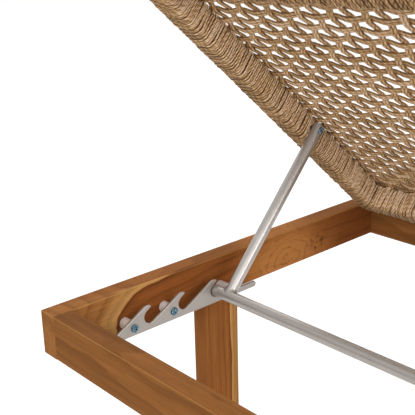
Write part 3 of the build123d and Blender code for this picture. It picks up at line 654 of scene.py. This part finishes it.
def teak_group():
    """Oiled teak: nested growth lines round a heart, dark resin round a knot, fibres and pores.

    Figure is centred on the heart and scaled to its size, with the grain along X. The heart's outline is
    an ellipse toward -X, and toward +X it runs on with the grain. The wood outside it is pale, palest at
    the heart, and less so deeper in the board. Sap is the least share of pale wood. Top is 1 on an upper
    face that weathering has paled and painted light has brightened, and Arris is 1 on the rounded edge
    under it, where a painted highlight is laid.
    """
    teak = settings("teak")
    inputs = [(title, VECTOR) for title in ("Grain", "Figure", "Knot")]
    inputs += [(title, FLOAT) for title in ("Tone", "Sap", "Top", "Arris")]
    tree, given, result = group("teak_figure", inputs, FINISH)
    grain = given.outputs["Grain"]
    parts = put(tree, "ShaderNodeSeparateXYZ", ((0, given.outputs["Figure"]),))
    behind = calc(tree, "MINIMUM", parts.outputs[0], 0.0)
    ahead = calc(tree, "MAXIMUM", parts.outputs[0], 0.0)
    open_end = calc(tree, "MINIMUM", calc(tree, "MULTIPLY", ahead, 0.13), 0.4)
    above = calc(tree, "SUBTRACT", parts.outputs[2], open_end)
    shaped = put(tree, "ShaderNodeCombineXYZ", ((0, behind), (1, parts.outputs[1]), (2, above)))
    near = vector(tree, "LENGTH", shaped.outputs[0]).outputs["Value"]
    drift = noise(tree, stretch(tree, grain, (7.0, 22.0, 22.0)), 1.0, 2.0)
    ripple = noise(tree, stretch(tree, grain, (26.0, 120.0, 120.0)), 1.0, 2.0)
    ring = calc(tree, "MULTIPLY_ADD", calc(tree, "SUBTRACT", drift, 0.5), 0.30, near)
    ring = calc(tree, "MULTIPLY_ADD", calc(tree, "SUBTRACT", ripple, 0.5), 0.025, ring)
    depth = calc(tree, "ABSOLUTE", parts.outputs[1])
    pale = span(tree, calc(tree, "MULTIPLY_ADD", depth, -13.0, ring), 1.0, 1.04)
    fringe = calc(tree, "MULTIPLY", span(tree, ring, 1.0, 1.05), span(tree, ring, 1.12, 1.6, 1.0, 0.0))
    fringe = calc(tree, "MULTIPLY", fringe, pale)
    rim = calc(tree, "MULTIPLY", span(tree, ring, 0.90, 1.0), span(tree, ring, 1.0, 1.025, 1.0, 0.0))
    rim = calc(tree, "MULTIPLY", rim, span(tree, depth, 0.0, 0.03, 1.0, 0.0))
    growth = calc(tree, "FRACT", calc(tree, "MULTIPLY", ring, 3.1))
    late = calc(tree, "MULTIPLY", span(tree, growth, 0.35, 0.95), span(tree, growth, 0.955, 1.0, 1.0, 0.0))
    fibre = noise(tree, stretch(tree, grain, (8.0, 330.0, 330.0)), 1.0, 3.0, 0.6)
    streak = noise(tree, stretch(tree, grain, (3.0, 110.0, 110.0)), 1.0, 3.0)
    cloud = noise(tree, stretch(tree, grain, (5.0, 16.0, 16.0)), 1.0, 2.0)
    pores = span(tree, noise(tree, stretch(tree, grain, (60.0, 1500.0, 1500.0)), 1.0, 1.0), 0.64, 0.74)
    sap = calc(tree, "MAXIMUM", pale, given.outputs["Sap"])
    # On the upper face the wood is paler: weathering, and painted light as well.
    sap = calc(tree, "MAXIMUM", sap, calc(tree, "MULTIPLY", given.outputs["Top"], 0.55))
    colour = blend(tree, sap, rgba(teak.heart), rgba(teak.sap))
    colour = blend(tree, calc(tree, "MULTIPLY", fringe, 0.9), colour, rgba(teak.fringe))
    fine = calc(tree, "FRACT", calc(tree, "MULTIPLY", ring, 6.7))
    fine = calc(tree, "MULTIPLY", span(tree, fine, 0.5, 0.93), span(tree, fine, 0.94, 1.0, 1.0, 0.0))
    colour = blend(tree, calc(tree, "MULTIPLY", fine, 0.09), colour, rgba(teak.line))
    colour = blend(tree, calc(tree, "MULTIPLY", late, 0.28), colour, rgba(teak.line))
    colour = blend(tree, calc(tree, "MULTIPLY", rim, 0.65), colour, rgba(teak.line))
    swirl = noise(tree, stretch(tree, grain, (24.0, 34.0, 34.0)), 1.0, 3.0, 0.55)
    wander = noise(tree, stretch(tree, grain, (60.0, 60.0, 60.0)), 1.0, 2.0)
    knot = vector(tree, "LENGTH", given.outputs["Knot"]).outputs["Value"]
    knot = calc(tree, "MULTIPLY_ADD", calc(tree, "SUBTRACT", swirl, 0.5), 1.6, knot)
    loops = span(tree, calc(tree, "PINGPONG", knot, 0.26), 0.0, 0.07, 1.0, 0.0)
    loops = calc(tree, "MULTIPLY", loops, span(tree, wander, 0.28, 0.52))
    loops = calc(tree, "MULTIPLY", loops, span(tree, knot, 1.1, 2.0, 1.0, 0.0))
    scar_at = vector(tree, "SUBTRACT", given.outputs["Knot"], (1.8, 0.0, 0.2)).outputs[0]
    scar = span(tree, vector(tree, "LENGTH", scar_at).outputs["Value"], 0.2, 0.75, 1.0, 0.0)
    flecks = noise(tree, stretch(tree, grain, (95.0, 130.0, 130.0)), 1.0, 3.0, 0.6)
    scar = calc(tree, "MULTIPLY", scar, span(tree, flecks, 0.46, 0.6))
    open_wood = span(tree, knot, 0.9, 3.4)
    colour = blend(tree, calc(tree, "MULTIPLY_ADD", open_wood, -0.9, 0.9), colour, rgba(teak.sap))
    colour = blend(tree, calc(tree, "MULTIPLY", loops, 0.5), colour, rgba(teak.line))
    colour = blend(tree, calc(tree, "MULTIPLY", scar, 0.8), colour, rgba(teak.line))
    level = calc(tree, "MULTIPLY_ADD", fibre, 0.55, calc(tree, "MULTIPLY", streak, 0.50))
    level = calc(tree, "MULTIPLY_ADD", cloud, 0.30, calc(tree, "ADD", level, 0.32))
    # Painted light: the wood round the knot is also made brighter.
    level = calc(tree, "ADD", level, calc(tree, "MULTIPLY_ADD", open_wood, -0.64, 0.64))
    # The upper face is also brighter: painted light, with weathering.
    board = calc(tree, "MULTIPLY_ADD", given.outputs["Top"], 0.14, given.outputs["Tone"])
    level = calc(tree, "ADD", level, board)
    shaded = put(tree, "ShaderNodeCombineXYZ", ((0, level), (1, level), (2, level))).outputs[0]
    colour = blend(tree, 1.0, colour, shaded, "MULTIPLY")
    colour = blend(tree, calc(tree, "MULTIPLY", pores, 0.4), colour, rgba(teak.line))
    # Painted highlight: the rounded edge under the top face is laid paler in streaks.
    uneven_tone = calc(tree, "MULTIPLY", given.outputs["Arris"], span(tree, streak, 0.3, 0.6, 0.25, 0.6))
    colour = blend(tree, uneven_tone, colour, rgba(teak.fringe))
    rough = calc(tree, "MULTIPLY_ADD", fibre, 0.22, 0.5)
    height = calc(tree, "MULTIPLY_ADD", pores, -0.6, calc(tree, "MULTIPLY", fibre, 0.5))
    finish_group(tree, result, colour, rough, height)
    return tree


def teak_material(name, shared, turn, figure_at, figure_size, knot_at, knot_size, tone, sap, top, weather_and_light):
    """Teak of one board: its grain turned to lie along X, its figure and its knot set in place.

    sap is the least share of pale wood, top the level of the upper face, and the last argument how far weathering
    has paled that face and painted light brightened it.
    """
    made, tree, shader = principled(name)
    place = put(tree, "ShaderNodeTexCoord").outputs["Object"]
    turned = Euler(turn).to_matrix()

    def centred(at, size):
        scale = Vector([1 / value for value in size])
        shift = turned @ Vector([-a * s for a, s in zip(at, scale)])
        return stretch(tree, place, scale, shift, turn)

    used = put(tree, "ShaderNodeGroup", node_tree=shared)
    offset = Vector((SEED, 3 * tone, 40 * tone))
    tree.links.new(stretch(tree, place, (1, 1, 1), offset, turn), used.inputs["Grain"])
    tree.links.new(centred(figure_at, figure_size), used.inputs["Figure"])
    tree.links.new(centred(knot_at, knot_size), used.inputs["Knot"])
    used.inputs["Tone"].default_value = tone
    used.inputs["Sap"].default_value = sap
    height = put(tree, "ShaderNodeSeparateXYZ", ((0, place),)).outputs[2]
    tree.links.new(span(tree, height, top - 0.0016, top - 0.0004, 0.0, weather_and_light), used.inputs["Top"])
    # Arris is the rounded edge under the top face, where the painted highlight goes.
    rising = span(tree, height, top - 0.0026, top - 0.0014)
    falling = span(tree, height, top - 0.0009, top - 0.0002, 1.0, 0.0)
    tree.links.new(calc(tree, "MULTIPLY", rising, falling), used.inputs["Arris"])
    dress(tree, shader, used, 0.0003)
    shader.inputs["Specular IOR Level"].default_value = 0.03
    return made


def teak_boards(shared):
    """One teak material for each board, its figure placed on the board that it belongs to."""
    along_x, along_y, along_z = (0, 0, 0), (0, 0, -pi / 2), (0, pi / 2, 0)
    boards = {}
    for word, tone, shift in (("left", 0.0, 0.0), ("right", 0.03, 0.31)):
        low, high = (np.array(corner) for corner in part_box("side_rail_" + word))
        inner = low[1] if word == "left" else high[1]
        heart = (low[0] + 0.192 + shift, inner, high[2] - 0.068)
        knot = (low[0] + 0.513, inner, high[2] - 0.052) if word == "left" else OFF_BOARD
        boards["side_rail_" + word] = teak_material(
            "teak_side_rail_" + word, shared, along_x, heart, RAIL_HEART, knot, RAIL_KNOT,
            tone, 0.0, high[2], 1.0)
    for number, node in enumerate(("head_rail", "hinge_cross_rail", "seat_cross_rail", "foot_rail")):
        low, high = (np.array(corner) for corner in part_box(node))
        heart = ((low[0] + high[0]) / 2, low[1] + 0.05 + 0.11 * number, low[2] - 0.03)
        boards[node] = teak_material(
            "teak_" + node, shared, along_y, heart, CROSS_HEART, OFF_BOARD, PLAIN_KNOT,
            0.01 * number - 0.12, 0.75, high[2], 0.0)
    for number, node in enumerate(("leg_head_left", "leg_head_right", "leg_foot_left", "leg_foot_right")):
        low, high = (np.array(corner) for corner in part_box(node))
        inner = low[1] if node.endswith("left") else high[1]
        heart = (low[0] + 0.020, inner, 0.05 - 0.02 * number)
        boards[node] = teak_material(
            "teak_" + node, shared, along_z, heart, LEG_HEART, OFF_BOARD, PLAIN_KNOT,
            0.21 + 0.015 * number, 0.45, OFF_BOARD[2], 0.0)
    return boards


def cord_group():
    """Twisted cord: two plies by the run of the cord and the way round it, loose fibres and tone by turn.

    Tone goes from the dark colour to the light one, and on to a painted highlight colour at its top. Painted
    shade darkens the grooves between the plies, and Edge is how much painted shade the flanks get, where
    cords lie side by side.
    """
    cord = settings("cord")
    inputs = (("Run", VECTOR), ("Place", VECTOR), ("Shade", FLOAT), ("Edge", FLOAT))
    tree, given, result = group("cord_twist", inputs, FINISH)
    parts = put(tree, "ShaderNodeSeparateXYZ", ((0, given.outputs["Run"]),))
    twist = calc(tree, "MULTIPLY", parts.outputs[0], 2 / LAY_LENGTH)
    lay = calc(tree, "ADD", twist, calc(tree, "MULTIPLY", parts.outputs[1], 2.0))
    ply = calc(tree, "PINGPONG", lay, 0.5)
    ridge = span(tree, ply, 0.02, 0.36)
    along = calc(tree, "MULTIPLY", lay, 0.03)
    fibre_run = calc(tree, "MULTIPLY", parts.outputs[0], 160.0)
    fibre_round = calc(tree, "MULTIPLY", lay, 9.0)
    fibre_at = put(tree, "ShaderNodeCombineXYZ", ((0, fibre_run), (1, fibre_round), (2, along)))
    fibre = noise(tree, fibre_at.outputs[0], 1.0, 3.0, 0.6)
    mottle = noise(tree, given.outputs["Place"], 55.0, 2.0)
    facing = calc(tree, "ABSOLUTE", calc(tree, "SINE", calc(tree, "MULTIPLY", parts.outputs[1], 2 * pi)))
    # Painted shade on the flanks, where cords lie side by side.
    flank_painted_shade = span(tree, facing, 0.36, 0.92, 1.0, 0.0)
    tone = calc(tree, "MULTIPLY_ADD", given.outputs["Shade"], 0.45, calc(tree, "MULTIPLY", mottle, 0.3))
    tone = calc(tree, "MULTIPLY_ADD", fibre, 1.2, tone)
    # Painted shade in the grooves between the plies.
    tone = calc(tree, "ADD", tone, calc(tree, "MULTIPLY_ADD", ridge, 0.40, -0.42))
    kept = calc(tree, "SUBTRACT", 1.0, calc(tree, "MULTIPLY", flank_painted_shade, given.outputs["Edge"]))
    tone = calc(tree, "MULTIPLY", tone, kept)
    colour = blend(tree, span(tree, tone, 0.0, 1.0, smooth=False), rgba(cord.dark), rgba(cord.light))
    # Painted highlight on the topmost fibres.
    colour = blend(tree, span(tree, tone, 0.8, 1.15), colour, rgba(cord.bright))
    rough = calc(tree, "MULTIPLY_ADD", fibre, 0.2, 0.40)
    height = calc(tree, "ADD", ridge, calc(tree, "MULTIPLY", fibre, 0.5))
    finish_group(tree, result, colour, rough, height)
    return tree


def cord_material(name, shared, edge):
    """Twisted outdoor cord; its last argument is how much painted shade it gets where cords lie side by side."""
    made, tree, shader = principled(name)
    used = put(tree, "ShaderNodeGroup", node_tree=shared)
    place = put(tree, "ShaderNodeTexCoord").outputs["Object"]
    run = put(tree, "ShaderNodeUVMap", uv_map="run").outputs[0]
    shade = put(tree, "ShaderNodeAttribute", attribute_name="shade").outputs["Fac"]
    for title, source in (("Run", run), ("Place", place), ("Shade", shade)):
        tree.links.new(source, used.inputs[title])
    used.inputs["Edge"].default_value = edge
    dress(tree, shader, used, 0.0008)
    shader.inputs["Specular IOR Level"].default_value = 0.15
    return made


def brushed_group():
    """Brushed metal: fine lines along X and a soft cloud, in its colour and its roughness."""
    inputs = (("Place", VECTOR), ("Tint", COLOR), ("Base Roughness", FLOAT))
    tree, given, result = group("brushed_metal", inputs, FINISH)
    place = given.outputs["Place"]
    lines = noise(tree, stretch(tree, place, (12.0, 900.0, 900.0)), 1.0, 2.0)
    cloud = noise(tree, place, 28.0, 3.0)
    level = calc(tree, "MULTIPLY_ADD", lines, 0.14, calc(tree, "MULTIPLY_ADD", cloud, 0.22, 0.80))
    shaded = put(tree, "ShaderNodeCombineXYZ", ((0, level), (1, level), (2, level))).outputs[0]
    colour = blend(tree, 1.0, given.outputs["Tint"], shaded, "MULTIPLY")
    uneven = calc(tree, "MULTIPLY_ADD", cloud, 0.06, -0.055)
    uneven = calc(tree, "MULTIPLY_ADD", lines, 0.05, uneven)
    rough = calc(tree, "ADD", given.outputs["Base Roughness"], uneven)
    finish_group(tree, result, colour, rough, lines)
    return tree


def metal_material(name, shared, tint, rough, turn, depth, metallic):
    """A metal with its brushing turned along its own way."""
    made, tree, shader = principled(name)
    used = put(tree, "ShaderNodeGroup", node_tree=shared)
    place = put(tree, "ShaderNodeTexCoord").outputs["Object"]
    tree.links.new(stretch(tree, place, (1, 1, 1), (0, 0, 0), turn), used.inputs["Place"])
    used.inputs["Tint"].default_value = rgba(tint)
    used.inputs["Base Roughness"].default_value = rough
    dress(tree, shader, used, depth)
    shader.inputs["Metallic"].default_value = metallic
    return made


def screw_material(name, tint):
    """Blue zinc with paler spots of painted glint, and painted shade down in the recess."""
    made, tree, shader = principled(name)
    clear = put(tree, "ShaderNodeAttribute", attribute_name="shade").outputs["Fac"]
    place = put(tree, "ShaderNodeTexCoord").outputs["Object"]
    cloud = noise(tree, place, 420.0, 2.0)
    # Painted shade: dark down in the recess.
    tone = calc(tree, "MULTIPLY", span(tree, clear, 0.0, 1.0), calc(tree, "MULTIPLY_ADD", cloud, 0.5, 0.75))
    # Painted glints: paler spots on the zinc.
    glinted = blend(tree, span(tree, cloud, 0.55, 0.66), rgba(tint), ZINC_PAINTED_GLINT)
    colour = blend(tree, tone, [value * 0.12 for value in tint] + [1.0], glinted)
    tree.links.new(colour, shader.inputs["Base Color"])
    tree.links.new(calc(tree, "MULTIPLY_ADD", cloud, 0.12, 0.08), shader.inputs["Roughness"])
    shader.inputs["Metallic"].default_value = 1.0
    return made


def nylon_material(name):
    """Matt black nylon with a fine moulded grain."""
    made, tree, shader = principled(name)
    place = put(tree, "ShaderNodeTexCoord").outputs["Object"]
    grain = noise(tree, place, 900.0, 2.0)
    colour = blend(tree, grain, (0.016, 0.015, 0.014, 1.0), (0.032, 0.030, 0.028, 1.0))
    tree.links.new(colour, shader.inputs["Base Color"])
    tree.links.new(calc(tree, "MULTIPLY_ADD", grain, 0.2, 0.5), shader.inputs["Roughness"])
    tree.links.new(bump(tree, grain, 0.0001), shader.inputs["Normal"])
    return made


def stage_material(name, glow, albedo):
    """Pale floor that reads white to the camera and in reflections, and still takes a shadow."""
    made = bpy.data.materials.new(name)
    made.use_nodes = True
    tree = made.node_tree
    tree.nodes.clear()
    rays = put(tree, "ShaderNodeLightPath")
    seen = calc(tree, "MAXIMUM", rays.outputs["Is Camera Ray"], rays.outputs["Is Glossy Ray"])
    seen = calc(tree, "MAXIMUM", seen, rays.outputs["Is Transmission Ray"])
    light = put(tree, "ShaderNodeEmission", (("Strength", calc(tree, "MULTIPLY", seen, glow)),))
    matt = put(tree, "ShaderNodeBsdfDiffuse", (("Color", (albedo, albedo, albedo, 1.0)),))
    both = put(tree, "ShaderNodeAddShader", ((0, light.outputs[0]), (1, matt.outputs[0])))
    put(tree, "ShaderNodeOutputMaterial", (("Surface", both.outputs[0]),))
    return made


def ease_edges(piece):
    """Join a plate's loose triangles, clear the lines from its flat faces and ease its edges."""
    joined = piece.modifiers.new("joined", "WELD")
    joined.merge_threshold = 0.00001
    flat = piece.modifiers.new("flat_faces", "DECIMATE")
    flat.decimate_type = "DISSOLVE"
    flat.angle_limit = radians(2)
    ease = piece.modifiers.new("eased", "BEVEL")
    ease.width = 0.0010
    ease.segments = 2
    ease.limit_method = "ANGLE"
    ease.angle_limit = radians(40)
    ease.use_clamp_overlap = False


# Operators


class LOUNGER_OT_stage(bpy.types.Operator):
    """Set up the camera, the lights, the floor and the white surroundings."""

    bl_idname = "lounger.stage"
    bl_label = "Stage"

    def execute(self, context):
        stage = settings("stage")
        scene = context.scene
        scene.view_settings.view_transform = "Standard"
        lens = bpy.data.cameras.new("camera")
        lens.lens = stage.lens
        lens.sensor_width = 36.0
        lens.clip_end = 50.0
        camera = bpy.data.objects.new("camera", lens)
        scene.collection.objects.link(camera)
        yaw, pitch, roll = (radians(value) for value in (stage.yaw, stage.pitch, stage.roll))
        ahead = Vector((sin(yaw) * cos(pitch), cos(yaw) * cos(pitch), -sin(pitch)))
        level = Vector((cos(yaw), -sin(yaw), 0.0))
        upright = level.cross(ahead)
        right = cos(roll) * level + sin(roll) * upright
        up = cos(roll) * upright - sin(roll) * level
        turned = Matrix((right, up, -ahead)).transposed().to_4x4()
        camera.matrix_world = Matrix.Translation(stage.camera_at) @ turned
        scene.camera = camera
        corners = ((-1, -1), (1, -1), (1, 1), (-1, 1))
        floor_mesh = bpy.data.meshes.new("floor")
        points = [(x * FLOOR_HALF, y * FLOOR_HALF, 0.0) for x, y in corners]
        floor_mesh.from_pydata(points, [], [(0, 1, 2, 3)])
        floor_mesh.materials.append(stage_material("floor_white", FLOOR_GLOW, FLOOR_ALBEDO))
        floor = bpy.data.objects.new("floor", floor_mesh)
        scene.collection.objects.link(floor)
        for name, at, aim, size, power in (
            ("key_light", (-0.6, -3.1, 2.1), (-0.6, 0.2, 0.35), 2.6, stage.key),
            ("side_light", (-3.3, -1.1, 1.5), (-0.7, 0.1, 0.5), 2.4, stage.key * 0.62),
            ("back_light", (1.5, 3.2, 2.8), (-0.3, 0.0, 0.4), 2.6, stage.key * 0.45),
        ):
            lamp = bpy.data.lights.new(name, "AREA")
            lamp.energy = power
            lamp.size = size
            holder = bpy.data.objects.new(name, lamp)
            holder.location = at
            holder.rotation_euler = (Vector(aim) - Vector(at)).to_track_quat("-Z", "Y").to_euler()
            scene.collection.objects.link(holder)
        world = bpy.data.worlds.new("surroundings")
        scene.world = world
        world.use_nodes = True
        tree = world.node_tree
        rays = put(tree, "ShaderNodeLightPath")
        seen = calc(tree, "MAXIMUM", rays.outputs["Is Camera Ray"], rays.outputs["Is Transmission Ray"])
        glossy = calc(tree, "MULTIPLY", rays.outputs["Is Glossy Ray"], GLOSSY_WORLD)
        lit = calc(tree, "MAXIMUM", calc(tree, "MAXIMUM", seen, glossy), stage.fill)
        tree.links.new(lit, tree.nodes["Background"].inputs["Strength"])
        tree.nodes["Background"].inputs["Color"].default_value = (1.0, 1.0, 1.0, 1.0)
        return {"FINISHED"}


class LOUNGER_OT_windings(bpy.types.Operator):
    """Wind cord round the border bars of both panels."""

    bl_idname = "lounger.windings"
    bl_label = "Windings"

    def execute(self, context):
        rng = np.random.default_rng(SEED)
        material = bpy.data.materials["wound_cord"]
        for name, node, body, grids in bar_pieces(rng):
            piece = build(name, grids, material)
            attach(piece, body)
            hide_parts(node)
        return {"FINISHED"}


class LOUNGER_OT_weaves(bpy.types.Operator):
    """Weave the lengthwise and cross cords of both panels."""

    bl_idname = "lounger.weaves"
    bl_label = "Weaves"

    def execute(self, context):
        rng = np.random.default_rng(SEED + 1)
        material = bpy.data.materials["woven_cord"]
        for name, node, body, grid in weave_pieces(rng):
            piece = build(name, [grid], material)
            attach(piece, body)
            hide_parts(node)
        return {"FINISHED"}


class LOUNGER_OT_welds(bpy.types.Operator):
    """Weld the prop arms to their bar."""

    bl_idname = "lounger.welds"
    bl_label = "Welds"

    def execute(self, context):
        bar_low, bar_high = (np.array(corner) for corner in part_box("prop_bar"))
        middle = (bar_low + bar_high) / 2
        radius = (bar_high[2] - bar_low[2]) / 2
        arm = pivot_at - middle
        arm[1] = 0.0
        arm /= np.linalg.norm(arm)
        normal = np.cross(np.array((0.0, 1.0, 0.0)), arm)
        material = bpy.data.materials["satin_along_y"]
        for word in ("left", "right"):
            low, high = (np.array(corner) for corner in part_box("prop_arm_" + word))
            foot = np.array((middle[0], (low[1] + high[1]) / 2, middle[2]))
            points = weld_grid(foot, arm, normal, radius, WELD_REACH)
            piece = build("prop_weld_" + word, [sheet_grid(points, 0.5)], material)
            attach(piece, "prop")
        return {"FINISHED"}


class LOUNGER_OT_screws(bpy.types.Operator):
    """Set domed cross-head screws in the ratchet plates and prop pivots."""

    bl_idname = "lounger.screws"
    bl_label = "Screws"

    def execute(self, context):
        material = bpy.data.materials["zinc_screw"]
        rng = np.random.default_rng(SEED + 2)
        for node, body in SCREWED.items():
            grids = []
            for low, high in screw_boxes(node):
                side = 1 if low[1] + high[1] > 0 else -1
                radius = (high[0] - low[0]) / 2
                inner_y = min(abs(low[1]), abs(high[1]))
                outer_y = max(abs(low[1]), abs(high[1]))
                seat_y = side * (inner_y + SCREW_DOME)
                centre = np.array(((low[0] + high[0]) / 2, seat_y, (low[2] + high[2]) / 2))
                face = np.array((0.0, -side, 0.0))
                points, clear = screw_grid(centre, face, radius, SCREW_DOME, rng.uniform(0, pi))
                grids.append(sheet_grid(points, clear[None], True))
                shank = np.array((centre, centre))
                shank[:, 1] = side * inner_y + side * SHANK_LAP, side * outer_y
                up = np.broadcast_to((0.0, 0.0, 1.0), (1, 2, 3))
                plain = np.full((1, 2), 0.5)
                grids.append(tube_grid(shank[None], up, SHANK_RADIUS, SHANK_RADIUS, 12, plain))
            piece = build(node + "_heads", grids, material)
            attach(piece, body)
            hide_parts(node)
        return {"FINISHED"}


class LOUNGER_OT_finishes(bpy.types.Operator):
    """Make the materials and put one on every frame node."""

    bl_idname = "lounger.finishes"
    bl_label = "Finishes"

    def execute(self, context):
        metal = settings("metal")
        twist = cord_group()
        # The last number is how much painted shade each cord gets on its flanks.
        cord_material("wound_cord", twist, 0.95)
        cord_material("woven_cord", twist, 0.74)
        brushed = brushed_group()
        along_x, along_y, along_arm = (0, 0, 0), (0, 0, -pi / 2), (0, ARM_SLOPE, 0)
        finishes = (
            ("satin_along_x", metal.satin, 0.46, along_x, 0.00003, 0.9),
            ("satin_along_y", metal.tube, 0.40, along_y, 0.00001, 0.75),
            # Painted light: a brighter copy of the satin steel for the arms.
            ("satin_along_arm", metal.arm, 0.34, along_arm, 0.00001, 0.75),
            # Painted light: a paler copy of the steel for the spacers in shade.
            ("sleeve", SLEEVE_PAINTED_LIGHT_TINT, 0.36, along_y, 0.00003, 0.15),
            ("zinc", metal.zinc, 0.22, along_x, 0.00002, 1.0),
            ("aluminium", ALUMINIUM_TINT, 0.4, along_x, 0.00003, 1.0),
        )
        metals = {row[0]: metal_material(row[0], brushed, *row[1:]) for row in finishes}
        metals["nylon"] = nylon_material("nylon")
        screw_material("zinc_screw", metal.zinc)
        boards = teak_boards(teak_group())
        by_slot = {row["node"]: row["material_slot"] for row in frame["record"]["subparts"]}
        plain = {"stainless": "satin_along_x", "zinc": "zinc", "aluminium": "aluminium", "nylon": "nylon"}
        special = {
            "prop_bar": "satin_along_y", "prop_caps": "satin_along_y",
            "prop_arm_left": "satin_along_arm", "prop_arm_right": "satin_along_arm",
            "ratchet_spacers_left": "sleeve", "ratchet_spacers_right": "sleeve",
        }
        for node, piece in frame["nodes"].items():
            slot = by_slot[node]
            if slot == "cord":
                material = bpy.data.materials["wound_cord"]
            elif slot == "teak":
                material = boards[node]
            else:
                material = metals[special.get(node, plain.get(slot))]
            piece.data.materials.clear()
            piece.data.materials.append(material)
            if node.startswith("ratchet_plate"):
                ease_edges(piece)
        return {"FINISHED"}


class LOUNGER_PT_panel(bpy.types.Panel):
    """Steps that dress the lounger."""

    bl_idname = "LOUNGER_PT_panel"
    bl_label = "Sun lounger"
    bl_space_type = "VIEW_3D"
    bl_region_type = "UI"
    bl_category = "Lounger"

    def draw(self, context):
        for step in STEPS:
            self.layout.operator(step.bl_idname)
        for name in GROUPS:
            box = self.layout.box()
            box.label(text=name.capitalize())
            group_settings = settings(name)
            for key in group_settings.__annotations__:
                box.prop(group_settings, key)


GROUPS = {"cord": CordSettings, "teak": TeakSettings, "metal": MetalSettings, "stage": StageSettings}
STEPS = (
    LOUNGER_OT_stage,
    LOUNGER_OT_finishes,
    LOUNGER_OT_windings,
    LOUNGER_OT_weaves,
    LOUNGER_OT_welds,
    LOUNGER_OT_screws,
)


def register():
    """Register the classes and hang the settings on the scene."""
    for name, kind in GROUPS.items():
        bpy.utils.register_class(kind)
        setattr(bpy.types.Scene, "lounger_" + name, PointerProperty(type=kind))
    for kind in (*STEPS, LOUNGER_PT_panel):
        bpy.utils.register_class(kind)


def unregister():
    """Take the classes and settings away again."""
    for kind in (LOUNGER_PT_panel, *reversed(STEPS)):
        bpy.utils.unregister_class(kind)
    for name, kind in GROUPS.items():
        delattr(bpy.types.Scene, "lounger_" + name)
        bpy.utils.unregister_class(kind)


def main():
    """Dress the frame."""
    register()
    bpy.ops.lounger.stage()
    bpy.ops.lounger.finishes()
    bpy.ops.lounger.windings()
    bpy.ops.lounger.weaves()
    bpy.ops.lounger.welds()
    bpy.ops.lounger.screws()


if __name__ == "__main__":
    main()
